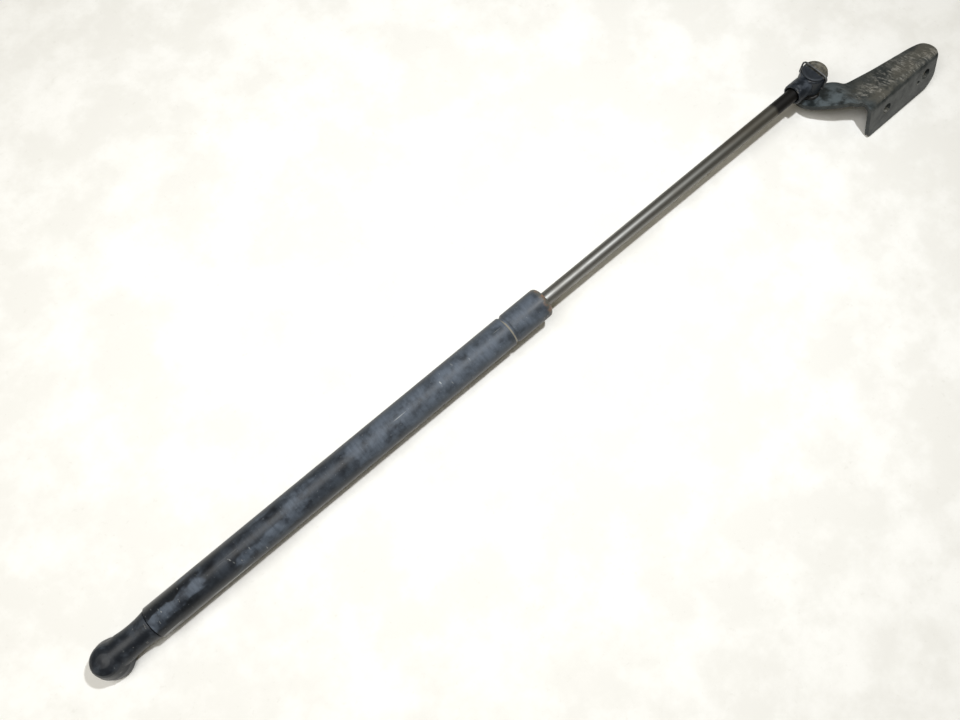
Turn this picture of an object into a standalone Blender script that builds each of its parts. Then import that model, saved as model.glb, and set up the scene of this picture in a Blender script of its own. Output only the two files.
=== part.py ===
"""Tailgate gas strut stay: tube, rod, two ball-socket ends and a stamped bracket, each its own closed body.

Lengths below are millimetres and become metres when a mesh is made. X runs along the strut from the centre of
the lower ball socket towards the rod end, Z is up, and the strut is fully extended.
"""
import math

import bmesh
import bpy
from mathutils import Matrix, Vector

MM = 0.001

# strut as a whole
BALL_TO_BALL = 500.0
STROKE = 190.0  # the piston's travel, which the space left inside the tube has to hold

# pressure tube
TUBE_START = 26.5
TUBE_END = 285.0
TUBE_R = 9.0
TUBE_IN_R = 7.8
GROOVE_X = 259.0
GROOVE_DEPTH = 0.9
LIP_R = 5.4
FIT_R = 7.5  # outside of everything that sits in the tube

# rod and its two spigots
ROD_R = 4.0
RUN_R = 4.1  # bores the rod slides in
ROD_START = 245.2
ROD_SHOULDER = 256.8
ROD_THREAD_START = 486.7
ROD_END = 490.0
SPIGOT_R = 2.9
SPIGOT_BORE_R = 3.2
THREAD_R = 3.7
THREAD_BORE_R = 4.1

# ball joints
BALL_R = 5.0
POCKET_R = 5.2
RING_Z = -3.0
RING_R = 4.95
RING_WIRE_R = 0.6
LOW_MOUTH_Z = -8.0
UP_MOUTH_Z = -6.2
UP_SOCKET_ROLL = math.radians(-8.0)

# bracket, in a frame with its origin on the upper ball and its z square to the tongue
BRACKET_ROLL = math.radians(-26.0)
SHEET = 2.5
TONGUE_TOP = -12.0
JOGGLE = 2.7
BEND_Y = -34.1
BEND_R = 4.2  # outer radius of the bend between web and flange
FLANGE_LOW = -37.0

# bolted flange: (x, z, radius) of the two bolt holes and the locating hole between them
FLANGE_HOLES = [(26.8, -25.6, 3.3), (55.2, -26.6, 1.5), (62.0, -24.6, 3.3)]
STUD_HOLE_R = 3.5
CUT_PAST = 4.0  # how far a hole's cutter runs past the sheet

SEG = 32
SEG_INNER = 20


def material(name, colour, rough, metal):
    mat = bpy.data.materials.new(name)
    mat.use_nodes = True
    shader = mat.node_tree.nodes["Principled BSDF"]
    shader.inputs["Base Color"].default_value = (*colour, 1.0)
    shader.inputs["Roughness"].default_value = rough
    shader.inputs["Metallic"].default_value = metal
    return mat


def obj_from(name, mesh, mat, matrix=None):
    obj = bpy.data.objects.new(name, mesh)
    bpy.context.scene.collection.objects.link(obj)
    if mat:
        mesh.materials.append(material(name, *mat))
    if matrix is not None:
        obj.matrix_world = matrix
    return obj


def revolved(points, segments, along="X"):
    """Mesh of the closed outline (station, radius) turned once about X or Z. Radius 0 makes a pole."""
    bm = bmesh.new()
    rings = []
    for station, radius in points:
        if radius <= 1e-9:
            spot = (station, 0, 0) if along == "X" else (0, 0, station)
            rings.append([bm.verts.new(Vector(spot) * MM)])
            continue
        ring = []
        for k in range(segments):
            turn = 2 * math.pi * k / segments
            side, up = radius * math.cos(turn), radius * math.sin(turn)
            spot = (station, side, up) if along == "X" else (side, up, station)
            ring.append(bm.verts.new(Vector(spot) * MM))
        rings.append(ring)
    for first, second in zip(rings, rings[1:] + rings[:1]):
        if len(first) == 1 and len(second) == 1:
            continue
        for k in range(segments):
            nxt = (k + 1) % segments
            quad = [first[k % len(first)], first[nxt % len(first)]]
            quad += [second[nxt % len(second)], second[k % len(second)]]
            bm.faces.new(list(dict.fromkeys(quad)))
    bmesh.ops.recalc_face_normals(bm, faces=bm.faces[:])
    mesh = bpy.data.meshes.new("revolved")
    bm.to_mesh(mesh)
    bm.free()
    mesh.polygons.foreach_set("use_smooth", [True] * len(mesh.polygons))
    mesh.set_sharp_from_angle(angle=math.radians(35))
    return mesh


def turned(name, points, mat, segments=SEG, along="X", matrix=None):
    return obj_from(name, revolved(points, segments, along), mat, matrix)


def circle(x, y, radius, count):
    """Points on a circle, for a hole's outline."""
    found = []
    for k in range(count):
        turn = 2 * math.pi * k / count
        found.append((x + radius * math.cos(turn), y + radius * math.sin(turn)))
    return found


def helper(points, segments=SEG, along="X", matrix=None):
    """A shape used only by a Boolean."""
    return obj_from("helper", revolved(points, segments, along), None, matrix)


def combine(target, other, operation):
    """Apply a Boolean at once and remove the second shape."""
    step = target.modifiers.new("step", "BOOLEAN")
    step.operation = operation
    step.solver = "EXACT"
    step.object = other
    bpy.context.view_layer.update()
    graph = bpy.context.evaluated_depsgraph_get()
    done = bpy.data.meshes.new_from_object(target.evaluated_get(graph))
    target.modifiers.remove(step)
    old = target.data
    target.data = done
    bpy.data.meshes.remove(old)
    bpy.data.objects.remove(other)


def shade(obj, degrees=35):
    obj.data.polygons.foreach_set("use_smooth", [True] * len(obj.data.polygons))
    obj.data.set_sharp_from_angle(angle=math.radians(degrees))


def arc(centre_s, centre_r, radius, start, end, steps):
    """Points (station, radius) on an arc, angles in degrees from +station towards +radius."""
    found = []
    for k in range(steps + 1):
        turn = math.radians(start + (end - start) * k / steps)
        found.append((centre_s + radius * math.cos(turn), centre_r + radius * math.sin(turn)))
    return found


def box_ring(start, end, inner, outer, chamfer=0.3):
    """Outline of a flat ring with its outer corners broken."""
    return [
        (start, inner),
        (start, outer - chamfer),
        (start + chamfer, outer),
        (end - chamfer, outer),
        (end, outer - chamfer),
        (end, inner),
    ]


def at(x, roll):
    return Matrix.Translation((x * MM, 0, 0)) @ Matrix.Rotation(roll, 4, "X")


def pressure_tube():
    """Drawn tube with a rolled locating groove and its mouth rolled over the seal pack."""
    g, wall = GROOVE_X, TUBE_R - TUBE_IN_R
    outline = [(TUBE_START, TUBE_IN_R + 0.2), (TUBE_START, TUBE_R - 0.5), (TUBE_START + 0.6, TUBE_R)]
    dips = [(-1.6, 0.0), (-1.0, 0.35), (-0.4, 0.85), (0.4, 0.85), (1.0, 0.35), (1.6, 0.0)]
    outline += [(g + dx, TUBE_R - GROOVE_DEPTH * deep) for dx, deep in dips]
    roll_r = 2.6
    outline += arc(TUBE_END - roll_r, TUBE_R - roll_r, roll_r, 90, 0, 6)
    outline += [(TUBE_END, LIP_R), (TUBE_END - wall, LIP_R)]
    outline += arc(TUBE_END - roll_r, TUBE_R - roll_r, roll_r - wall, 0, 90, 4)
    outline += [(g - dx * 1.25, TUBE_IN_R - GROOVE_DEPTH * deep) for dx, deep in dips]
    outline += [(TUBE_START + 0.2, TUBE_IN_R)]
    turned("pressure_tube", outline, ((0.05, 0.06, 0.075), 0.5, 0.2))


def end_plug():
    """Plug that closes the tube, with the threaded stud of the lower fitting in one piece."""
    outline = [
        (13.2, 0.0),
        (13.2, THREAD_R - 0.7),
        (13.9, THREAD_R),
        (27.2, THREAD_R),
        (27.2, FIT_R - 0.5),
        (27.7, FIT_R),
        (33.0, FIT_R),
        (33.6, FIT_R - 0.6),
        (33.6, 0.0),
    ]
    turned("end_plug", outline, ((0.45, 0.45, 0.46), 0.4, 1.0), SEG_INNER)


def pocket_cutter(mouth_z, matrix):
    """The ball's pocket: domed end, straight wall with the spring ring's groove, and a flared mouth."""
    outline = [(mouth_z - 3.0, 0.0), (mouth_z - 3.0, 6.8), (mouth_z - 0.2, 6.8), (mouth_z + 1.6, POCKET_R)]
    groove_r, half = 5.95, 0.95
    outline += [(RING_Z - half, POCKET_R), (RING_Z - half, groove_r)]
    outline += [(RING_Z + half, groove_r), (RING_Z + half, POCKET_R)]
    outline += arc(0, 0, POCKET_R, 90, 10, 7)
    outline += [(POCKET_R, 0.0)]
    return helper(outline, SEG, "Z", matrix)


def spring_ring(name, matrix):
    """Round-wire ring in the pocket's groove that keeps the ball in."""
    outline = arc(RING_Z, RING_R, RING_WIRE_R, 0, 360 - 36, 9)
    turned(name, outline, ((0.55, 0.55, 0.55), 0.3, 1.0), SEG_INNER, "Z", matrix)


def lower_socket():
    """Moulded head that widens towards the pocket's mouth, on a neck screwed to the end plug."""
    rim_r, belly_r, top_r, top = 10.6, 9.3, 8.5, 8.4
    outline = [(LOW_MOUTH_Z, 0.0), (LOW_MOUTH_Z, rim_r - 1.0), (LOW_MOUTH_Z + 0.9, rim_r - 0.1)]
    outline += [(-2.0, (rim_r + belly_r) / 2), (0.0, belly_r), (2.9, top_r), (4.6, top_r - 0.6)]
    outline += [(6.1, top_r - 1.6), (7.1, top_r - 3.1), (7.8, top_r - 4.9), (top, 0.0)]
    socket = turned("lower_socket", outline, ((0.045, 0.05, 0.06), 0.5, 0.0), SEG, "Z")
    neck = [(4.0, 0.0), (4.0, 7.7), (9.0, 7.7), (10.8, 7.45), (13.0, 7.3), (17.0, 7.25), (20.5, 7.45)]
    neck += [(23.5, 7.85), (25.5, 8.2), (26.0, 8.0), (26.0, 0.0)]
    combine(socket, helper(neck), "UNION")
    combine(socket, pocket_cutter(LOW_MOUTH_Z, Matrix.Identity(4)), "DIFFERENCE")
    bore = [(12.5, 0.0), (12.5, THREAD_BORE_R), (28.0, THREAD_BORE_R), (28.0, 0.0)]
    combine(socket, helper(bore, SEG_INNER), "DIFFERENCE")
    shade(socket)
    spring_ring("lower_spring_ring", Matrix.Identity(4))


def seal_pack():
    """What the groove and the rolled mouth hold between them, from the gas side out."""
    steel = ((0.5, 0.5, 0.5), 0.35, 1.0)
    rubber = ((0.02, 0.02, 0.02), 0.7, 0.0)
    turned("support_ring", box_ring(261.4, 262.6, 4.3, FIT_R), steel, SEG_INNER)
    lip = [(262.9, 5.6), (262.9, FIT_R - 0.4), (263.3, FIT_R), (268.0, FIT_R), (268.4, FIT_R - 0.3)]
    lip += [(268.4, 4.3), (267.2, RUN_R), (263.6, RUN_R), (262.9, 4.5), (263.4, 4.9), (264.8, 5.05)]
    turned("rod_seal", lip, rubber, SEG_INNER)
    turned("backing_washer", box_ring(268.7, 269.7, 4.3, FIT_R), steel, SEG_INNER)
    guide = [(270.0, RUN_R), (270.0, FIT_R - 0.4), (270.4, FIT_R), (274.0, FIT_R), (274.0, 6.2), (276.6, 6.2)]
    guide += [(276.6, FIT_R), (280.9, FIT_R), (281.3, FIT_R - 0.4), (281.3, RUN_R)]
    turned("rod_guide", guide, ((0.35, 0.33, 0.3), 0.5, 0.6), SEG_INNER)
    turned("guide_o_ring", arc(275.3, 7.05, 0.55, 0, 324, 9), rubber, SEG_INNER)
    turned("closing_washer", box_ring(281.6, 283.0, 4.5, 6.6), steel, SEG_INNER)


def piston_rod():
    head_r = 4.4
    outline = [(ROD_START, 0.0), (ROD_START, head_r - 1.2), (ROD_START + 0.7, head_r)]
    outline += [(ROD_START + 1.7, head_r)]
    outline += [(ROD_START + 1.7, SPIGOT_R), (ROD_SHOULDER, SPIGOT_R), (ROD_SHOULDER, ROD_R - 0.3)]
    outline += [(ROD_SHOULDER + 0.3, ROD_R), (ROD_THREAD_START, ROD_R)]
    outline += [(ROD_THREAD_START, THREAD_R), (ROD_END - 0.5, THREAD_R)]
    outline += [(ROD_END, THREAD_R - 0.5), (ROD_END, 0.0)]
    turned("piston_rod", outline, ((0.62, 0.61, 0.58), 0.22, 1.0))


def piston_parts():
    steel = ((0.45, 0.45, 0.45), 0.4, 1.0)
    turned("throttle_disc", box_ring(247.2, 248.2, SPIGOT_BORE_R, 6.4), steel, SEG_INNER)
    piston = [(248.5, SPIGOT_BORE_R), (248.5, FIT_R - 0.5), (249.0, FIT_R - 0.1), (250.2, FIT_R - 0.1)]
    piston += [(250.2, 5.7), (252.8, 5.7), (252.8, FIT_R - 0.1), (254.4, FIT_R - 0.1), (254.9, FIT_R - 0.5)]
    piston += [(254.9, SPIGOT_BORE_R)]
    turned("piston", piston, ((0.3, 0.3, 0.32), 0.5, 0.4), SEG_INNER)
    turned("piston_washer", box_ring(255.2, 256.5, SPIGOT_BORE_R, 6.0), steel, SEG_INNER)
    turned("piston_seal_ring", arc(251.5, 6.8, 0.85, 0, 324, 9), ((0.02, 0.02, 0.02), 0.7, 0.0), SEG_INNER)


def wire(name, path, radius, mat, matrix, sides=10):
    """Round wire along a path that lies in one plane of constant x, with flat ends."""
    bm = bmesh.new()
    rings = []
    across = Vector((1, 0, 0))
    for k, spot in enumerate(path):
        ahead = (Vector(path[min(k + 1, len(path) - 1)]) - Vector(path[max(k - 1, 0)])).normalized()
        normal = ahead.cross(across)
        ring = []
        for j in range(sides):
            turn = 2 * math.pi * j / sides
            away = math.cos(turn) * across + math.sin(turn) * normal
            ring.append(bm.verts.new((Vector(spot) + radius * away) * MM))
        rings.append(ring)
    for first, second in zip(rings, rings[1:]):
        for j in range(sides):
            nxt = (j + 1) % sides
            bm.faces.new([first[j], first[nxt], second[nxt], second[j]])
    bm.faces.new(rings[0])
    bm.faces.new(rings[-1])
    bmesh.ops.recalc_face_normals(bm, faces=bm.faces[:])
    mesh = bpy.data.meshes.new(name)
    bm.to_mesh(mesh)
    bm.free()
    obj = obj_from(name, mesh, mat, matrix)
    shade(obj, 50)


def upper_socket():
    """Head with the ball's pocket, the shank screwed on the rod, the cap on its back and the wire clip."""
    place = at(BALL_TO_BALL, UP_SOCKET_ROLL)
    mouth_r, head_r, head_top = 7.5, 7.9, 6.2  # the head ends just above the shank
    outline = [(UP_MOUTH_Z, 0.0), (UP_MOUTH_Z, mouth_r - 0.5), (UP_MOUTH_Z + 0.5, mouth_r), (0.0, head_r)]
    outline += [(head_top - 0.9, head_r), (head_top - 0.3, head_r - 0.4), (head_top, head_r - 1.1)]
    outline += [(head_top, 0.0)]
    socket = turned("upper_socket", outline, ((0.04, 0.045, 0.05), 0.45, 0.0), SEG, "Z", place)
    shank_r = 6.15
    shank = [(-17.0, 0.0), (-17.0, shank_r - 0.6), (-16.4, shank_r), (-6.8, shank_r), (-6.8, 0.0)]
    combine(socket, helper(shank, SEG, "X", place), "UNION")
    combine(socket, pocket_cutter(UP_MOUTH_Z, place), "DIFFERENCE")
    bore = [(-20.0, 0.0), (-20.0, 4.8), (-13.0, 4.8), (-13.0, THREAD_BORE_R)]
    bore += [(-9.6, THREAD_BORE_R), (-9.6, 0.0)]
    combine(socket, helper(bore, SEG_INNER, "X", place), "DIFFERENCE")
    clip_z, wire_r, hole_start = -1.0, 0.55, 6.2
    for side in (-1, 1):
        hole = [(hole_start, 0.0), (hole_start, wire_r + 0.4), (12.0, wire_r + 0.4), (12.0, 0.0)]
        turn = Matrix.Translation((0, 0, clip_z * MM)) @ Matrix.Rotation(side * math.pi / 2, 4, "Z")
        combine(socket, helper(hole, 12, "X", place @ turn), "DIFFERENCE")
    shade(socket)
    cap_low, cap_r, cap_top, dish_r = head_top + 0.3, 7.3, 7.5, 5.0
    cap = [(cap_low, 0.0), (cap_low, cap_r), (cap_top - 0.5, cap_r), (cap_top - 0.1, cap_r - 0.4)]
    cap += [(cap_top, cap_r - 0.9), (cap_top, dish_r + 0.6), (cap_top - 0.3, dish_r), (cap_top - 0.3, 0.0)]
    turned("socket_cap", cap, ((0.16, 0.16, 0.14), 0.5, 0.5), SEG, "Z", place)
    leg_y, bend_y, bend_z, top_z = 8.8, 6.2, 5.8, 8.5
    half = [(hole_start + 0.4, clip_z), (leg_y - 0.7, clip_z), (leg_y - 0.2, clip_z + 0.25)]
    half += [(leg_y, clip_z + 0.8)] + arc(bend_y, bend_z, leg_y - bend_y, 0, 90, 5)
    half += [(3.2, top_z), (0.0, top_z + 0.05)]
    path = [(0.0, y, z) for y, z in half] + [(0.0, -y, z) for y, z in half[-2::-1]]
    wire("safety_clip", path, wire_r, ((0.6, 0.6, 0.6), 0.3, 1.0), place)


def ball_stud():
    """Ball, neck and collar above the tongue, and the tail riveted over beneath it."""
    place = at(BALL_TO_BALL, BRACKET_ROLL)
    neck_r, collar_r, tail_r = 2.4, 5.0, 3.2
    under = TONGUE_TOP - SHEET
    outline = [(under - 1.9, 0.0), (under - 1.9, 3.6), (under - 1.3, 4.8), (under - 0.3, 5.0)]
    outline += [(under - 0.3, tail_r)]
    top = TONGUE_TOP
    outline += [(top + 0.3, tail_r), (top + 0.3, collar_r - 0.3), (top + 0.6, collar_r)]
    outline += [(top + 2.0, collar_r), (top + 2.4, collar_r - 0.4), (top + 3.0, neck_r + 0.5)]
    outline += [(top + 3.6, neck_r)]
    start = 180 - math.degrees(math.asin(neck_r / BALL_R))
    outline += arc(0, 0, BALL_R, start, 8, 10)
    outline += [(BALL_R, 0.0)]
    turned("ball_stud", outline, ((0.5, 0.5, 0.5), 0.3, 1.0), SEG_INNER, "Z", place)


def smooth(value):
    value = min(1.0, max(0.0, value))
    return value * value * (3 - 2 * value)


def formed(x, t, z):
    """Where a point of the flat blank lands once the sheet is bent. t is the blank's y, z its height."""
    bend_start = BEND_Y + BEND_R
    arc_length = BEND_R * math.pi / 2
    ramp = smooth((23.5 - (0.85 * x - 0.53 * t)) / 7.0)
    lift = JOGGLE * ramp
    if t >= bend_start:
        return Vector((x, t, z + lift + TONGUE_TOP - JOGGLE))
    web_top = TONGUE_TOP - JOGGLE
    centre = Vector((0.0, bend_start, web_top - BEND_R))
    reach = BEND_R + z
    run = bend_start - t
    if run < arc_length:
        turn = run / BEND_R
        return Vector((x, centre.y - reach * math.sin(turn), centre.z + reach * math.cos(turn)))
    return Vector((x, centre.y - reach, centre.z - (run - arc_length)))


def extruded(outline, low, high, name="helper"):
    bm = bmesh.new()
    rings = []
    for z in (low, high):
        rings.append([bm.verts.new(Vector((x, y, z)) * MM) for x, y in outline])
    bm.faces.new(rings[0][::-1])
    bm.faces.new(rings[1])
    count = len(outline)
    for k in range(count):
        nxt = (k + 1) % count
        bm.faces.new([rings[0][k], rings[0][nxt], rings[1][nxt], rings[1][k]])
    bmesh.ops.recalc_face_normals(bm, faces=bm.faces[:])
    mesh = bpy.data.meshes.new(name)
    bm.to_mesh(mesh)
    bm.free()
    return obj_from(name, mesh, None)


def grid_slab(xs, ys, low, high):
    """A closed slab with a grid on both faces, so that it can be bent smoothly."""
    bm = bmesh.new()
    layers = []
    for z in (low, high):
        layers.append([[bm.verts.new(Vector((x, y, z)) * MM) for y in ys] for x in xs])
    bottom, top = layers
    for i in range(len(xs) - 1):
        for j in range(len(ys) - 1):
            bm.faces.new([bottom[i][j], bottom[i][j + 1], bottom[i + 1][j + 1], bottom[i + 1][j]])
            bm.faces.new([top[i][j], top[i + 1][j], top[i + 1][j + 1], top[i][j + 1]])
    for i in range(len(xs) - 1):
        for j in (0, len(ys) - 1):
            bm.faces.new([bottom[i][j], bottom[i + 1][j], top[i + 1][j], top[i][j]])
    for j in range(len(ys) - 1):
        for i in (0, len(xs) - 1):
            bm.faces.new([bottom[i][j], bottom[i][j + 1], top[i][j + 1], top[i][j]])
    bmesh.ops.recalc_face_normals(bm, faces=bm.faces[:])
    mesh = bpy.data.meshes.new("slab")
    bm.to_mesh(mesh)
    bm.free()
    return mesh


def rounded(points, radius, steps=4):
    """The outline with each corner replaced by a curve that starts at most radius from it."""
    found = []
    count = len(points)
    for k in range(count):
        here = Vector(points[k])
        before, after = Vector(points[k - 1]), Vector(points[(k + 1) % count])
        reach_in = min(radius, (here - before).length * 0.45)
        reach_out = min(radius, (after - here).length * 0.45)
        start = here + (before - here).normalized() * reach_in
        end = here + (after - here).normalized() * reach_out
        for step in range(steps + 1):
            s = step / steps
            found.append(tuple((1 - s) ** 2 * start + 2 * s * (1 - s) * here + s * s * end))
    return found


def mounting_bracket():
    """Stamped from one blank: the tongue with the stud's hole, the web, and the flange bent down from it."""
    saved = BEND_R * 2 - BEND_R * math.pi / 2  # the blank is shorter than the outside of the bend by this
    low_t = BEND_Y + (FLANGE_LOW - (TONGUE_TOP - JOGGLE)) + saved
    corners = [(11.5, low_t), (66.0, low_t), (71.5, low_t + 5.5), (71.5, BEND_Y - 2.0), (74.8, -26.5)]
    corners += [(73.6, -21.0), (66.5, -18.4), (39.5, -13.0), (24.0, -9.0), (18.3, -7.0), (15.0, -1.2)]
    corners += [(10.0, 1.5), (7.2, 6.3), (2.5, 9.3), (-3.5, 9.0), (-8.2, 5.2), (-9.4, -0.5), (-8.0, -6.6)]
    corners += [(-4.8, -11.2)]
    corners += [(0.4, -17.6), (5.0, -22.2), (9.6, -24.4), (13.2, -27.0), (11.5, -31.5)]
    blank = extruded(rounded(corners, 3.0), -SHEET - CUT_PAST, CUT_PAST)
    xs = [-14, -9, -6, -3, 0, 3, 6, 9, 11.5, 14, 16.5, 19, 21.5, 24, 27, 31, 36, 42, 50, 60, 80]
    bend_start = BEND_Y + BEND_R
    arc_length = BEND_R * math.pi / 2
    ys = [14, 6, 3, 0, -3, -6, -9, -12, -15, -18, -21, -24, -27]
    ys += [bend_start - arc_length * k / 8 for k in range(9)]
    ys += [-50, -70]
    slab = grid_slab(xs, sorted(ys), -SHEET, 0.0)
    bracket = obj_from("mounting_bracket", slab, ((0.06, 0.065, 0.07), 0.5, 0.5))
    combine(bracket, blank, "INTERSECT")
    flange_z = TONGUE_TOP - JOGGLE
    for x, z, radius in FLANGE_HOLES:
        hole = circle(x, BEND_Y + (z - flange_z) + saved, radius, SEG_INNER)
        combine(bracket, extruded(hole, -SHEET - CUT_PAST, CUT_PAST), "DIFFERENCE")
    stud_hole = circle(0.0, 0.0, STUD_HOLE_R, SEG_INNER)
    combine(bracket, extruded(stud_hole, -SHEET - CUT_PAST, CUT_PAST), "DIFFERENCE")
    bm = bmesh.new()
    bm.from_mesh(bracket.data)
    bmesh.ops.triangulate(bm, faces=bm.faces[:], quad_method="SHORT_EDGE", ngon_method="BEAUTY")
    for vert in bm.verts:
        flat = vert.co / MM
        vert.co = formed(flat.x, flat.y, flat.z) * MM
    bmesh.ops.recalc_face_normals(bm, faces=bm.faces[:])
    bm.to_mesh(bracket.data)
    bm.free()
    shade(bracket, 30)
    bracket.matrix_world = at(BALL_TO_BALL, BRACKET_ROLL)


def gather(name, x, members):
    """Parent the members to an empty on their joint's axis, leaving them where they are."""
    empty = bpy.data.objects.new(name, None)
    bpy.context.scene.collection.objects.link(empty)
    empty.location = (x * MM, 0, 0)
    bpy.context.view_layer.update()
    for member in members:
        obj = bpy.data.objects[member]
        place = obj.matrix_world.copy()
        obj.parent = empty
        obj.matrix_parent_inverse = empty.matrix_world.inverted()
        obj.matrix_world = place


def main():
    for obj in list(bpy.data.objects):
        bpy.data.objects.remove(obj)
    # the piston at full travel has to clear the end plug
    assert ROD_START - STROKE > TUBE_START + 8
    pressure_tube()
    end_plug()
    lower_socket()
    seal_pack()
    piston_rod()
    piston_parts()
    upper_socket()
    spring_ring("upper_spring_ring", at(BALL_TO_BALL, UP_SOCKET_ROLL))
    ball_stud()
    mounting_bracket()
    still = ["pressure_tube", "end_plug", "lower_socket", "lower_spring_ring", "support_ring", "rod_seal"]
    still += ["backing_washer", "rod_guide", "guide_o_ring", "closing_washer"]
    gather("cylinder_group", 0.0, still)
    gather("piston_ring_group", ROD_START, ["piston_seal_ring"])
    sliding = ["piston_rod", "throttle_disc", "piston", "piston_washer"]
    gather("rod_group", ROD_START, sliding + ["upper_socket", "socket_cap", "safety_clip"])
    gather("bracket_group", BALL_TO_BALL, ["upper_spring_ring", "ball_stud", "mounting_bracket"])


main()
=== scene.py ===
"""Looks of the gas strut stay: fine turned pieces, worn procedural finishes, camera, light and floor."""
import math

import bmesh
import bpy
from mathutils import Matrix, Vector


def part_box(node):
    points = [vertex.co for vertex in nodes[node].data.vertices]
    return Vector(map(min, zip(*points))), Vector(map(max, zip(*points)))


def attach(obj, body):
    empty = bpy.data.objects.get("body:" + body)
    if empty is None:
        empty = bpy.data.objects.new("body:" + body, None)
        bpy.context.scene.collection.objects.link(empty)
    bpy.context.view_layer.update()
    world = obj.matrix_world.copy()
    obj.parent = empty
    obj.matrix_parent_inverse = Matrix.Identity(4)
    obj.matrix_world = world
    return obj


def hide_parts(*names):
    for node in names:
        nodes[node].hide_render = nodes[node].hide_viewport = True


MM = 0.001
SIDES = 96  # around the larger turned pieces
SIDES_SMALL = 48  # around bores
VOXEL = 0.24 * MM  # moulded fittings are remeshed at this and relaxed, which rounds their edges
RELAX_STEPS = 5

# the part, in millimetres, with the lower ball at zero and the strut along X
BALL_X = 500.0  # upper ball's centre
BALL_R = 5.0
GROOVE_X = 259.0  # rolled groove's centre on the tube
BLACK_X = 467.0  # from here to the fitting the rod is black
TUBE_R, TUBE_WALL = 9.0, 1.2
ROD_R = 4.0
SHANK_BORE_R = 4.1
POCKET_R = 5.2
CLIP_Z = -1.0  # the wire bail's feet, from the upper ball's centre
CLIP_WIRE_R = 0.55
HEAD_TOP = 6.2  # back of the upper head, under its cap
HEAD_ROLL = math.radians(-8.0)
BRACKET_ROLL = math.radians(-26.0)

# the stage, in metres
FLOOR_HALF = 2.5
FLOOR_GAP = 0.1 * MM
KEY_SPOT, KEY_SIZE, KEY_WATTS, KEY_COLOUR = (0.45, 0.0, 0.62), 0.035, 3.1, (0.97, 0.985, 1.0)
FILL_SPOT, FILL_SIZE, FILL_WATTS, FILL_COLOUR = (-0.15, 0.12, 0.90), 0.7, 5.4, (1.0, 0.985, 0.955)
LAMP_AIM = (0.10, 0.0, 0.0)
WORLD_COLOUR, WORLD_STRENGTH = (1.0, 0.88, 0.62, 1), 0.15
SENSOR_MM, LENS_MM = 36.0, 30.0
CAMERA_SPOT, CAMERA_TURN = (0.1616, -0.0820, 0.4176), (0.2548, -0.0124, -0.7101)

SPECULAR = 0.35
BUMP_STRENGTH = 0.6

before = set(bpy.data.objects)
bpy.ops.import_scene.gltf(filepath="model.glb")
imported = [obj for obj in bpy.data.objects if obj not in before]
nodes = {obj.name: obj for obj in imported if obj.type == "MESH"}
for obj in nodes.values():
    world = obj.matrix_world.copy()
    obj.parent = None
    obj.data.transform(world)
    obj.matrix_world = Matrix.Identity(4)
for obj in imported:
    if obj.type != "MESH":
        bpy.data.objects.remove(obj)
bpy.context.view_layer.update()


# ---------------------------------------------------------------- node materials

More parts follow.
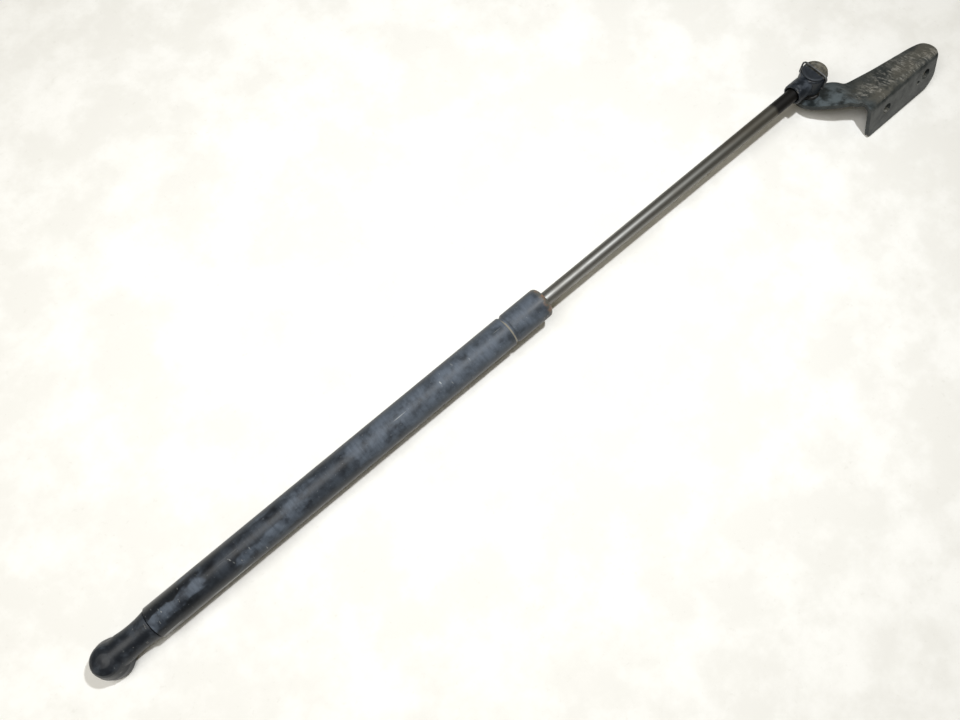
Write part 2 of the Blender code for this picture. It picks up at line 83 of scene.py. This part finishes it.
class Graph:
    """A material's node tree with short calls."""

    def __init__(self, name):
        self.mat = bpy.data.materials.new(name)
        self.mat.use_nodes = True
        self.tree = self.mat.node_tree
        self.shader = self.tree.nodes["Principled BSDF"]
        self.coord = self.tree.nodes.new("ShaderNodeTexCoord")

    def put(self, value, socket):
        if isinstance(value, bpy.types.NodeSocket):
            self.tree.links.new(value, socket)
        else:
            socket.default_value = value

    def node(self, kind, **settings):
        made = self.tree.nodes.new(kind)
        for key, value in settings.items():
            setattr(made, key, value)
        return made

    def place(self, scale=(1, 1, 1), turn=(0, 0, 0), shift=(0, 0, 0)):
        made = self.node("ShaderNodeMapping")
        self.put(self.coord.outputs["Object"], made.inputs["Vector"])
        made.inputs["Scale"].default_value = scale
        made.inputs["Rotation"].default_value = turn
        made.inputs["Location"].default_value = shift
        return made.outputs["Vector"]

    def noise(self, scale, detail=4.0, rough=0.55, stretch=(1, 1, 1), turn=(0, 0, 0), shift=(0, 0, 0)):
        made = self.node("ShaderNodeTexNoise")
        self.put(self.place(stretch, turn, shift), made.inputs["Vector"])
        made.inputs["Scale"].default_value = scale
        made.inputs["Detail"].default_value = detail
        made.inputs["Roughness"].default_value = rough
        return made.outputs["Fac"]

    def ramp(self, value, low, high):
        made = self.node("ShaderNodeMapRange", clamp=True)
        made.interpolation_type = "SMOOTHSTEP"
        self.put(value, made.inputs["Value"])
        made.inputs["From Min"].default_value = low
        made.inputs["From Max"].default_value = high
        return made.outputs["Result"]

    def math(self, how, first, second):
        made = self.node("ShaderNodeMath", operation=how, use_clamp=True)
        self.put(first, made.inputs[0])
        self.put(second, made.inputs[1])
        return made.outputs[0]

    def along(self, axis, normal=False, about=(0, 0, 0)):
        """Distance along an axis from a point, or the object-space normal's share of that axis."""
        source = self.coord.outputs["Normal" if normal else "Object"]
        if not normal:
            moved = self.node("ShaderNodeVectorMath", operation="SUBTRACT")
            self.put(source, moved.inputs[0])
            moved.inputs[1].default_value = about
            source = moved.outputs[0]
        made = self.node("ShaderNodeVectorMath", operation="DOT_PRODUCT")
        self.put(source, made.inputs[0])
        made.inputs[1].default_value = axis
        return made.outputs["Value"]

    def mix(self, amount, first, second):
        made = self.node("ShaderNodeMix", data_type="RGBA")
        self.put(amount, made.inputs["Factor"])
        self.put((*first, 1) if isinstance(first, tuple) else first, made.inputs["A"])
        self.put((*second, 1) if isinstance(second, tuple) else second, made.inputs["B"])
        return made.outputs["Result"]

    def blend(self, amount, first, second):
        made = self.node("ShaderNodeMix", data_type="FLOAT")
        self.put(amount, made.inputs["Factor"])
        self.put(first, made.inputs["A"])
        self.put(second, made.inputs["B"])
        return made.outputs["Result"]

    def finish(self, colour, rough, metal, height=None, depth=0.03 * MM):
        """Join the values to the shader, with fine relief of this depth where a height is given."""
        for value, name in ((colour, "Base Color"), (rough, "Roughness"), (metal, "Metallic")):
            self.put(value, self.shader.inputs[name])
        self.shader.inputs["Specular IOR Level"].default_value = SPECULAR
        if height is not None:
            bump = self.node("ShaderNodeBump")
            bump.inputs["Strength"].default_value = BUMP_STRENGTH
            bump.inputs["Distance"].default_value = depth
            self.put(height, bump.inputs["Height"])
            self.put(bump.outputs["Normal"], self.shader.inputs["Normal"])
        return self.mat


def tube_paint(tube_start, tube_end):
    """Black paint with a blue-grey upward crown, partly dusty and partly a painted sheen, wiped dark in
    patches, scratched, rusty at the mouth.
    """
    g = Graph("tube_paint")
    run = g.along((1, 0, 0))
    ragged = g.math("ADD", run, g.math("MULTIPLY", g.noise(330, 3, 0.6, (0.25, 1, 1)), 0.006))
    low_end = g.ramp(ragged, tube_start + 0.085, tube_start + 0.015)
    side = g.math("ADD", g.along((0, 1, 0)), g.math("MULTIPLY", g.noise(260, 3), 0.005))
    bare_end = g.ramp(ragged, tube_start + 0.026, tube_start + 0.022)
    bare_end = g.math("MULTIPLY", bare_end, g.ramp(side, 0.0030, 0.0044))
    patches = g.ramp(g.noise(52, 3, 0.55, (0.45, 1, 1)), 0.53, 0.585)
    wiped = g.math("MULTIPLY", patches, g.math("ADD", g.math("MULTIPLY", low_end, 0.30), 0.62))
    wiped = g.math("MAXIMUM", wiped, bare_end)
    cloud = g.noise(120, 5, 0.6)
    # dust_and_sheen: the upward crown, tilted slightly towards -Y, is painted paler blue-grey, partly dusty
    # and partly a painted sheen from the light above
    crown = g.ramp(g.along((0.0, -0.12, 0.99), normal=True), 0.34, 0.96)
    dust_and_sheen = g.math("MULTIPLY", crown, g.ramp(cloud, 0.25, 0.66))
    dust_and_sheen = g.math("MULTIPLY", dust_and_sheen, g.math("SUBTRACT", 1.0, g.math("MULTIPLY", wiped, 0.9)))
    streaks = g.ramp(g.noise(560, 4, 0.62, (1, 0.16, 0.16), (0, 0, 0.25)), 0.30, 0.62)
    dust_and_sheen = g.math("MULTIPLY", dust_and_sheen, g.math("ADD", g.math("MULTIPLY", streaks, 0.38), 0.62))
    towards_mouth = g.ramp(run, tube_start, tube_end)
    colour = g.mix(g.ramp(cloud, 0.3, 0.7), (0.010, 0.014, 0.022), (0.020, 0.028, 0.041))
    colour = g.mix(g.math("MULTIPLY", towards_mouth, 0.5), colour, (0.050, 0.060, 0.072))
    colour = g.mix(wiped, colour, (0.0035, 0.005, 0.0075))
    # the painted sheen and the dusty film lighten the crown here
    colour = g.mix(g.math("MULTIPLY", dust_and_sheen, 0.72), colour, (0.135, 0.165, 0.212))
    flecks = g.math("MULTIPLY", g.ramp(g.noise(900, 3, 0.7), 0.66, 0.74), crown)
    colour = g.mix(g.math("MULTIPLY", flecks, 0.55), colour, (0.36, 0.38, 0.40))
    marks = g.ramp(g.noise(620, 3, 0.6, (1, 0.30, 0.30), (0, 0, 0.35)), 0.66, 0.70)
    marks = g.math("MULTIPLY", marks, g.ramp(g.noise(40, 2), 0.52, 0.62))
    lines = g.ramp(g.noise(300, 2, 0.5, (0.05, 1, 1)), 0.67, 0.71)
    lines = g.math("MULTIPLY", lines, g.ramp(g.noise(45, 2), 0.50, 0.62))
    scratched = g.math("MAXIMUM", marks, lines)
    colour = g.mix(g.math("MULTIPLY", scratched, 0.60), colour, (0.44, 0.46, 0.46))
    middle = GROOVE_X * MM
    # painted highlight: a broken pale band on the groove's wall nearer the lower end, the wall that faces
    # the lamp
    groove = g.ramp(run, middle - 0.0016, middle - 0.0010)
    groove = g.math("MULTIPLY", groove, g.ramp(run, middle, middle - 0.0006))
    groove = g.math("MULTIPLY", groove, g.ramp(g.noise(160, 2), 0.40, 0.52))
    colour = g.mix(g.math("MULTIPLY", groove, 0.75), colour, (0.36, 0.33, 0.26))
    lip = g.ramp(run, tube_end - 0.0045, tube_end - 0.0015)
    colour = g.mix(g.math("MULTIPLY", lip, 0.75), colour, (0.105, 0.100, 0.080))
    rust = g.math("MULTIPLY", lip, g.ramp(g.noise(240, 4, 0.6), 0.48, 0.60))
    colour = g.mix(g.math("MULTIPLY", rust, 0.80), colour, (0.24, 0.130, 0.080))
    rough = g.blend(dust_and_sheen, g.blend(wiped, 0.42, 0.30), 0.62)
    height = g.math("ADD", g.math("MULTIPLY", g.noise(1500, 3), 0.5), g.math("MULTIPLY", rust, 0.5))
    return g.finish(colour, rough, g.math("MULTIPLY", scratched, 0.5), height)


def rod_chrome(bright_x, dull_x):
    """Ground chrome: bright where the seal wipes it, browner and duller towards the fitting."""
    g = Graph("rod_chrome")
    far = g.ramp(g.along((1, 0, 0)), bright_x, dull_x)
    film = g.noise(55, 4, 0.6, (0.35, 1, 1))
    colour = g.mix(far, (0.235, 0.235, 0.228), (0.150, 0.150, 0.136))
    colour = g.mix(g.math("MULTIPLY", g.ramp(film, 0.45, 0.68), 0.55), colour, (0.105, 0.090, 0.066))
    black = g.ramp(g.along((1, 0, 0)), (BLACK_X - 2) * MM, (BLACK_X + 1) * MM)
    colour = g.mix(g.math("MULTIPLY", black, 0.88), colour, (0.018, 0.018, 0.020))
    pits = g.ramp(g.noise(1300, 3, 0.7), 0.68, 0.74)
    colour = g.mix(g.math("MULTIPLY", pits, 0.7), colour, (0.09, 0.05, 0.03))
    drawn = g.noise(900, 2, 0.5, (0.02, 1, 1))
    rough = g.blend(g.ramp(film, 0.4, 0.7), g.blend(far, 0.46, 0.50), 0.60)
    return g.finish(colour, rough, g.math("SUBTRACT", 1.0, g.math("MULTIPLY", pits, 0.7)), drawn, 0.000012)


def moulded_black(name, dust_and_sheen_share):
    """Black moulded fitting: fine texture, upward faces painted paler blue-grey in patches, partly dusty and
    partly a painted sheen, pale scuffs.
    """
    g = Graph(name)
    cloud = g.noise(190, 5, 0.6)
    # dust_and_sheen: upward faces painted paler blue-grey in patches, partly dusty and partly a painted
    # sheen from the light above
    top = g.ramp(g.along((0, 0, 1), normal=True), 0.0, 0.9)
    dust_and_sheen = g.math("MULTIPLY", g.math("MULTIPLY", top, g.ramp(cloud, 0.44, 0.68)), dust_and_sheen_share)
    colour = g.mix(cloud, (0.004, 0.006, 0.010), (0.013, 0.018, 0.026))
    colour = g.mix(dust_and_sheen, colour, (0.095, 0.112, 0.138))
    scuff = g.ramp(g.noise(520, 3, 0.6, (1, 0.25, 1), (0.3, 0.2, 0.7)), 0.64, 0.70)
    scuff = g.math("MULTIPLY", scuff, g.ramp(g.noise(90, 2), 0.48, 0.62))
    colour = g.mix(g.math("MULTIPLY", scuff, 0.5), colour, (0.30, 0.30, 0.29))
    rough = g.blend(dust_and_sheen, g.blend(cloud, 0.34, 0.50), 0.8)
    return g.finish(colour, rough, 0.0, g.noise(1600, 3, 0.6), 0.00004)


def bare_steel(name, base, dark, rough, stain=(0.13, 0.07, 0.04), stain_share=0.25, metal=1.0):
    """Turned or drawn steel with staining and fine tool marks."""
    g = Graph(name)
    cloud = g.noise(260, 5, 0.6)
    colour = g.mix(g.ramp(cloud, 0.3, 0.7), dark, base)
    stained = g.math("MULTIPLY", g.ramp(g.noise(420, 4, 0.65), 0.56, 0.68), stain_share)
    colour = g.mix(stained, colour, stain)
    rings = g.noise(1400, 2, 0.5, (1, 0.08, 0.08))
    return g.finish(colour, g.blend(cloud, rough, rough + 0.2), metal, rings, 0.00002)


def cap_metal(ball):
    """Pressed cap: dark and greasy towards the rod, dusty brown on the far half."""
    g = Graph("cap_metal")
    cloud = g.noise(330, 5, 0.62)
    far = g.math("ADD", g.along((1, 0, 0), about=tuple(ball)), g.math("MULTIPLY", cloud, 0.006))
    far = g.ramp(far, 0.0018, 0.0040)
    dark = g.mix(cloud, (0.010, 0.013, 0.018), (0.045, 0.053, 0.066))
    dusty = g.mix(g.ramp(cloud, 0.32, 0.66), (0.052, 0.052, 0.045), (0.185, 0.172, 0.138))
    colour = g.mix(far, dark, dusty)
    return g.finish(colour, g.blend(cloud, 0.42, 0.62), 0.25, g.noise(1400, 3, 0.6), 0.00003)


def seal_rubber():
    g = Graph("seal_rubber")
    cloud = g.noise(400, 4, 0.6)
    colour = g.mix(cloud, (0.008, 0.008, 0.008), (0.022, 0.021, 0.020))
    return g.finish(colour, g.blend(cloud, 0.55, 0.75), 0.0, g.noise(2200, 2), 0.00003)


def bracket_paint(web, flange, ball):
    """Black paint, scraped through to grey metal on the web beside the bend, with pale strokes across it."""
    g = Graph("bracket_paint")
    on_web = g.ramp(g.along(tuple(web), normal=True), 0.45, 0.80)
    on_flange = g.ramp(g.along(tuple(flange), normal=True), 0.55, 0.90)
    out = g.along(tuple(flange), about=tuple(ball))
    run = g.along((1, 0, 0), about=tuple(ball))
    cloud = g.noise(150, 5, 0.62)
    colour = g.mix(g.ramp(cloud, 0.32, 0.68), (0.012, 0.016, 0.017), (0.036, 0.042, 0.043))
    sheen = g.math("MULTIPLY", g.ramp(run, 0.020, 0.008), on_web)
    colour = g.mix(g.math("MULTIPLY", sheen, g.ramp(cloud, 0.36, 0.62)), colour, (0.095, 0.116, 0.128))
    worn = g.math("MULTIPLY", on_web, g.ramp(out, 0.006, 0.030))
    worn = g.math("MULTIPLY", worn, g.ramp(run, 0.008, 0.026))
    worn = g.math("MULTIPLY", worn, g.ramp(g.noise(85, 5, 0.65), 0.34, 0.60))
    colour = g.mix(g.math("MULTIPLY", worn, 0.85), colour, (0.175, 0.172, 0.150))
    strokes = g.ramp(g.noise(700, 5, 0.70, (1, 0.20, 0.20), (0.0, 0.0, 0.30)), 0.46, 0.56)
    near_bend = g.math("MULTIPLY", g.ramp(out, 0.012, 0.030), on_web)
    strokes = g.math("MULTIPLY", g.math("MULTIPLY", strokes, near_bend), g.ramp(g.noise(70, 3), 0.40, 0.60))
    strokes = g.math("MULTIPLY", strokes, g.ramp(run, 0.010, 0.020))
    broken = g.ramp(g.noise(640, 5, 0.7, (1, 0.6, 0.6), (0.4, 0.2, -0.6)), 0.40, 0.58)
    strokes = g.math("MULTIPLY", strokes, broken)
    colour = g.mix(g.math("MULTIPLY", strokes, 0.85), colour, (0.62, 0.61, 0.57))
    film = g.math("MULTIPLY", on_flange, g.ramp(cloud, 0.35, 0.70))
    colour = g.mix(g.math("MULTIPLY", film, 0.55), colour, (0.085, 0.092, 0.090))
    bare = g.math("MAXIMUM", g.math("MULTIPLY", worn, 0.55), strokes)
    height = g.math("ADD", g.math("MULTIPLY", g.noise(1100, 4), 0.5), g.math("MULTIPLY", strokes, 0.5))
    return g.finish(colour, g.blend(bare, 0.46, 0.38), bare, height, 0.00006)


# ---------------------------------------------------------------- shapes (millimetres in, metres out)

def lathe(name, points, sides=SIDES, axis="X", place=None):
    """The closed outline (station, radius) turned once about X or Z."""
    bm = bmesh.new()
    rings = []
    for station, radius in points:
        count = sides if radius > 1e-9 else 1
        ring = []
        for k in range(count):
            turn = 2 * math.pi * k / sides
            side, up = radius * math.cos(turn), radius * math.sin(turn)
            spot = (station, side, up) if axis == "X" else (side, up, station)
            ring.append(bm.verts.new(Vector(spot) * MM))
        rings.append(ring)
    for first, second in zip(rings, rings[1:] + rings[:1]):
        if len(first) == len(second) == 1:
            continue
        for k in range(sides):
            nxt = (k + 1) % sides
            quad = [first[k % len(first)], first[nxt % len(first)]]
            quad += [second[nxt % len(second)], second[k % len(second)]]
            bm.faces.new(list(dict.fromkeys(quad)))
    bmesh.ops.recalc_face_normals(bm, faces=bm.faces[:])
    mesh = bpy.data.meshes.new(name)
    bm.to_mesh(mesh)
    bm.free()
    if place is not None:
        mesh.transform(place)
    obj = bpy.data.objects.new(name, mesh)
    bpy.context.scene.collection.objects.link(obj)
    smooth(obj)
    return obj


def smooth(obj, degrees=40):
    obj.data.polygons.foreach_set("use_smooth", [True] * len(obj.data.polygons))
    obj.data.set_sharp_from_angle(angle=math.radians(degrees))


def settle(obj):
    """Replace the mesh with its evaluated one and drop the modifiers."""
    bpy.context.view_layer.update()
    graph = bpy.context.evaluated_depsgraph_get()
    done = bpy.data.meshes.new_from_object(obj.evaluated_get(graph))
    obj.modifiers.clear()
    obj.data = done


def combine(target, other, operation):
    step = target.modifiers.new("step", "BOOLEAN")
    step.operation, step.solver, step.object = operation, "EXACT", other
    settle(target)
    bpy.data.objects.remove(other)


def moulded(obj):
    """Round every edge a little, as a moulded piece has them."""
    remesh = obj.modifiers.new("remesh", "REMESH")
    remesh.mode, remesh.voxel_size = "VOXEL", VOXEL
    relax = obj.modifiers.new("relax", "SMOOTH")
    relax.factor, relax.iterations = 0.5, RELAX_STEPS
    settle(obj)
    obj.data.polygons.foreach_set("use_smooth", [True] * len(obj.data.polygons))


def arc(station, radius, size, start, end, steps):
    found = []
    for k in range(steps + 1):
        turn = math.radians(start + (end - start) * k / steps)
        found.append((station + size * math.cos(turn), radius + size * math.sin(turn)))
    return found


def stand_for(obj, node, body, mat):
    obj.data.materials.clear()
    obj.data.materials.append(mat)
    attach(obj, body)
    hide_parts(node)


def at(x, roll):
    return Matrix.Translation((x * MM, 0, 0)) @ Matrix.Rotation(roll, 4, "X")


def tube_shape(start, end):
    """The tube's outline with its rolled groove and mouth; its wall is followed back inside."""
    outer, wall, groove_deep, half = TUBE_R, TUBE_WALL, 0.9, 1.7
    steps = 14
    dip = []
    for k in range(steps + 1):
        s = -1 + 2 * k / steps
        dip.append((s * half, groove_deep * 0.5 * (1 + math.cos(math.pi * s))))
    outline = [(start, outer - wall + 0.2), (start, outer - 0.45), (start + 0.12, outer - 0.15)]
    outline.append((start + 0.45, outer))
    outline += [(GROOVE_X + dx, outer - deep) for dx, deep in dip]
    roll_r, lip_r = 2.6, 5.4
    outline += arc(end - roll_r, outer - roll_r, roll_r, 90, 0, 14)
    outline += [(end, lip_r + 0.3), (end - 0.3, lip_r), (end - wall, lip_r)]
    outline += arc(end - roll_r, outer - roll_r, roll_r - wall, 0, 90, 8)
    outline += [(GROOVE_X - dx * 1.25, outer - wall - deep) for dx, deep in dip]
    return outline + [(start + 0.2, outer - wall)]


def rod_shape():
    """The rod's outline: peened end, the piston's spigot, the bar and the end inside the fitting."""
    outline = [(245.2, 0.0), (245.2, 3.2), (245.9, 4.4), (246.9, 4.4), (246.9, 2.9), (256.8, 2.9)]
    outline += [(256.8, ROD_R - 0.3), (257.1, ROD_R), (486.7, ROD_R), (486.7, ROD_R - 0.3)]
    return outline + [(489.5, ROD_R - 0.3), (490.0, 3.2), (490.0, 0.0)]


def pocket(mouth, place=None):
    """A cutter for the ball's room: flared mouth, the spring ring's groove and a round end."""
    ring_z, pocket_r, groove_r, flare_r, half = -3.0, POCKET_R, 5.95, 6.8, 0.95
    outline = [(mouth - 3.0, 0.0), (mouth - 3.0, flare_r), (mouth - 0.2, flare_r), (mouth + 1.6, pocket_r)]
    outline += [(ring_z - half, pocket_r), (ring_z - half, groove_r), (ring_z + half, groove_r)]
    outline += [(ring_z + half, pocket_r)] + arc(0, 0, pocket_r, 90, 6, 14) + [(pocket_r, 0.0)]
    return lathe("pocket", outline, SIDES, "Z", place)


def lower_fitting():
    mouth, rim_r, belly_r, top_r, top = -8.0, 10.6, 9.3, 8.5, 8.4
    outline = [(mouth, 0.0), (mouth, rim_r - 1.0), (mouth + 0.9, rim_r - 0.1)]
    outline.append((-2.0, (rim_r + belly_r) / 2))
    outline += [(0.0, belly_r), (2.9, top_r), (4.6, top_r - 0.6), (6.1, top_r - 1.6), (7.1, top_r - 3.1)]
    outline += [(7.8, top_r - 4.9), (top, 0.0)]
    head = lathe("lower_fitting", outline, SIDES, "Z")
    neck = [(4.0, 0.0), (4.0, 7.7), (9.0, 7.7), (10.8, 7.45), (13.0, 7.3), (17.0, 7.25)]
    neck += [(20.5, 7.45), (23.5, 7.85), (25.5, 8.2), (26.0, 8.0), (26.0, 0.0)]
    combine(head, lathe("neck", neck), "UNION")
    combine(head, pocket(mouth), "DIFFERENCE")
    bore = [(12.5, 0.0), (12.5, SHANK_BORE_R), (28.0, SHANK_BORE_R), (28.0, 0.0)]
    combine(head, lathe("bore", bore, SIDES_SMALL), "DIFFERENCE")
    moulded(head)
    return head


def upper_fitting(place):
    mouth, mouth_r, head_r, top = -6.2, 7.5, 7.9, HEAD_TOP
    outline = [(mouth, 0.0), (mouth, mouth_r - 0.5), (mouth + 0.5, mouth_r), (0.0, head_r)]
    outline += [(top - 0.9, head_r), (top - 0.3, head_r - 0.4), (top, head_r - 1.1), (top, 0.0)]
    head = lathe("upper_fitting", outline, SIDES, "Z", place)
    shank = [(-17.0, 0.0), (-17.0, 5.55), (-16.4, 6.15), (-6.8, 6.15), (-6.8, 0.0)]
    combine(head, lathe("shank", shank, SIDES, "X", place), "UNION")
    combine(head, pocket(mouth, place), "DIFFERENCE")
    bore = [(-20.0, 0.0), (-20.0, 4.8), (-13.0, 4.8), (-13.0, SHANK_BORE_R)]
    bore += [(-9.6, SHANK_BORE_R), (-9.6, 0.0)]
    combine(head, lathe("bore", bore, SIDES_SMALL, "X", place), "DIFFERENCE")
    for side in (-1, 1):
        turn = Matrix.Translation((0, 0, CLIP_Z * MM)) @ Matrix.Rotation(side * math.pi / 2, 4, "Z")
        hole_r = CLIP_WIRE_R + 0.4
        hole = [(6.2, 0.0), (6.2, hole_r), (12.0, hole_r), (12.0, 0.0)]
        combine(head, lathe("hole", hole, 24, "X", place @ turn), "DIFFERENCE")
    moulded(head)
    return head


def clip_wire(place):
    """The wire bail over the head's back, as a round tube along a smooth curve."""
    half = [(6.6, CLIP_Z), (8.1, CLIP_Z), (8.6, CLIP_Z + 0.25), (8.8, CLIP_Z + 0.8)]
    half += arc(6.2, 5.8, 2.6, 0, 90, 8) + [(3.2, 8.5), (0.0, 8.55)]
    points = [(0.0, y, z) for y, z in half] + [(0.0, -y, z) for y, z in half[-2::-1]]
    curve = bpy.data.curves.new("clip_wire", "CURVE")
    curve.dimensions, curve.use_fill_caps = "3D", True
    curve.bevel_depth, curve.bevel_resolution = CLIP_WIRE_R * MM, 5
    line = curve.splines.new("POLY")
    line.points.add(len(points) - 1)
    for spot, p in zip(line.points, points):
        spot.co = (*(place @ (Vector(p) * MM)), 1.0)
    shaped = bpy.data.objects.new("clip_curve", curve)
    bpy.context.scene.collection.objects.link(shaped)
    bpy.context.view_layer.update()
    mesh = bpy.data.meshes.new_from_object(shaped.evaluated_get(bpy.context.evaluated_depsgraph_get()))
    bpy.data.objects.remove(shaped)
    obj = bpy.data.objects.new("clip_wire", mesh)
    bpy.context.scene.collection.objects.link(obj)
    smooth(obj, 60)
    return obj


def stud_shape():
    """Rivet head under the tongue, shank through it, collar, neck and ball."""
    top, under, neck_r = -12.0, -14.5, 2.4
    outline = [(under - 1.9, 0.0), (under - 1.85, 2.2), (under - 1.6, 3.8), (under - 1.2, 4.7)]
    outline += [(under - 0.6, 5.0), (under - 0.3, 5.0), (under - 0.3, 3.2), (top + 0.3, 3.2)]
    outline += [(top + 0.3, 4.7), (top + 0.6, 5.0), (top + 2.0, 5.0), (top + 2.4, 4.6)]
    outline += [(top + 3.0, neck_r + 0.5), (top + 3.6, neck_r)]
    start = 180 - math.degrees(math.asin(neck_r / BALL_R))
    return outline + arc(0, 0, BALL_R, start, 4, 28) + [(BALL_R, 0.0)]


# ---------------------------------------------------------------- pieces

tube_low, tube_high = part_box("pressure_tube")
head_place, bracket_place = at(BALL_X, HEAD_ROLL), at(BALL_X, BRACKET_ROLL)
ball = Vector((BALL_X * MM, 0, 0))
web_out = bracket_place.to_3x3() @ Vector((0, 0, 1))
flange_out = bracket_place.to_3x3() @ Vector((0, -1, 0))

tube_mat = tube_paint(tube_low.x, tube_high.x)
rod_mat = rod_chrome(tube_high.x, BALL_X * MM)
steel = bare_steel("turned_steel", (0.42, 0.42, 0.41), (0.22, 0.21, 0.20), 0.30)
stud_mat = bare_steel("stud_steel", (0.085, 0.085, 0.085), (0.020, 0.020, 0.021), 0.50, metal=0.6)
wire_mat = bare_steel("clip_steel", (0.17, 0.175, 0.18), (0.05, 0.053, 0.058), 0.50,
                      stain_share=0.12, metal=0.7)
cap_mat = cap_metal(ball)
guide_mat = bare_steel("guide_metal", (0.25, 0.24, 0.22), (0.13, 0.12, 0.11), 0.50)
rubber = seal_rubber()
bracket_mat = bracket_paint(web_out, flange_out, ball)

tube = lathe("tube_skin", tube_shape(tube_low.x / MM, tube_high.x / MM))
stand_for(tube, "pressure_tube", "cylinder", tube_mat)
rod = lathe("rod_bar", rod_shape())
stand_for(rod, "piston_rod", "rod", rod_mat)
low_mat, top_mat = moulded_black("fitting_low", 0.30), moulded_black("fitting_top", 0.45)
stand_for(lower_fitting(), "lower_socket", "cylinder", low_mat)
stand_for(upper_fitting(head_place), "upper_socket", "rod", top_mat)
cap = [(6.5, 0.0), (6.5, 7.1), (6.7, 7.3), (7.0, 7.3), (7.25, 7.2), (7.42, 6.95), (7.5, 6.5)]
cap += [(7.5, 5.7), (7.42, 5.4), (7.28, 5.15), (7.2, 4.9), (7.2, 0.0)]
cap = lathe("cap_disc", cap, SIDES, "Z", head_place)
stand_for(cap, "socket_cap", "rod", cap_mat)
stand_for(clip_wire(head_place), "safety_clip", "rod", wire_mat)
stud = lathe("stud_turned", stud_shape(), 64, "Z", bracket_place)
stand_for(stud, "ball_stud", "stud", stud_mat)

carried = {"mounting_bracket": bracket_mat}
carried.update({n: rubber for n in ("rod_seal", "guide_o_ring", "piston_seal_ring")})
carried.update({n: guide_mat for n in ("rod_guide", "piston")})
carried.update({n: wire_mat for n in ("lower_spring_ring", "upper_spring_ring")})
for n in ("end_plug", "support_ring", "backing_washer", "closing_washer", "throttle_disc", "piston_washer"):
    carried[n] = steel
for name, mat in carried.items():
    nodes[name].data.materials.clear()
    nodes[name].data.materials.append(mat)
edge = nodes["mounting_bracket"].modifiers.new("edge", "BEVEL")
edge.width, edge.segments, edge.limit_method, edge.angle_limit = 0.00035, 2, "ANGLE", math.radians(50)


# ---------------------------------------------------------------- floor, light and camera

def lowest_line():
    """Slope and height of the floor the tube's lower end and the bracket's flange rest on."""
    corners = [v.co for v in nodes["mounting_bracket"].data.vertices]
    rest = min(corners, key=lambda co: co.z)
    slope = (rest.z - tube_low.z) / (rest.x - tube_low.x)
    return slope, min([tube_low.z - slope * tube_low.x] + [co.z - slope * co.x for co in corners])


slope, height = lowest_line()
floor_mesh = bpy.data.meshes.new("floor")
corners = [(FLOOR_HALF * x, FLOOR_HALF * y) for x, y in ((-1, -1), (1, -1), (1, 1), (-1, 1))]
floor_mesh.from_pydata([(x, y, height + slope * x - FLOOR_GAP) for x, y in corners], [], [(0, 1, 2, 3)])
floor = bpy.data.objects.new("floor", floor_mesh)
bpy.context.scene.collection.objects.link(floor)
g = Graph("floor")
mottle = g.ramp(g.noise(26, 6, 0.62), 0.40, 0.66)
floor_colour = g.mix(mottle, (0.885, 0.88, 0.85), (0.98, 0.98, 0.96))
grain = g.ramp(g.noise(260, 4, 0.7), 0.60, 0.72)
floor_colour = g.mix(g.math("MULTIPLY", grain, 0.12), floor_colour, (0.55, 0.53, 0.47))
floor_mesh.materials.append(g.finish(floor_colour, 0.80, 0.0))


def area(name, spot, aim, size, power, colour):
    lamp = bpy.data.lights.new(name, "AREA")
    lamp.shape, lamp.size, lamp.energy, lamp.color = "DISK", size, power, colour
    obj = bpy.data.objects.new(name, lamp)
    bpy.context.scene.collection.objects.link(obj)
    obj.location = spot
    obj.rotation_euler = (Vector(aim) - Vector(spot)).to_track_quat("-Z", "Y").to_euler()


area("key", KEY_SPOT, LAMP_AIM, KEY_SIZE, KEY_WATTS, KEY_COLOUR)
area("fill", FILL_SPOT, LAMP_AIM, FILL_SIZE, FILL_WATTS, FILL_COLOUR)
world = bpy.data.worlds.new("world")
bpy.context.scene.world = world
world.use_nodes = True
world.node_tree.nodes["Background"].inputs["Color"].default_value = WORLD_COLOUR
world.node_tree.nodes["Background"].inputs["Strength"].default_value = WORLD_STRENGTH
bpy.context.scene.view_settings.view_transform = "Standard"

camera = bpy.data.cameras.new("camera")
camera.sensor_fit, camera.sensor_width, camera.lens = "HORIZONTAL", SENSOR_MM, LENS_MM
camera.clip_start = 0.01
camera_obj = bpy.data.objects.new("camera", camera)
bpy.context.scene.collection.objects.link(camera_obj)
camera_obj.location = CAMERA_SPOT
camera_obj.rotation_euler = CAMERA_TURN
bpy.context.scene.camera = camera_obj
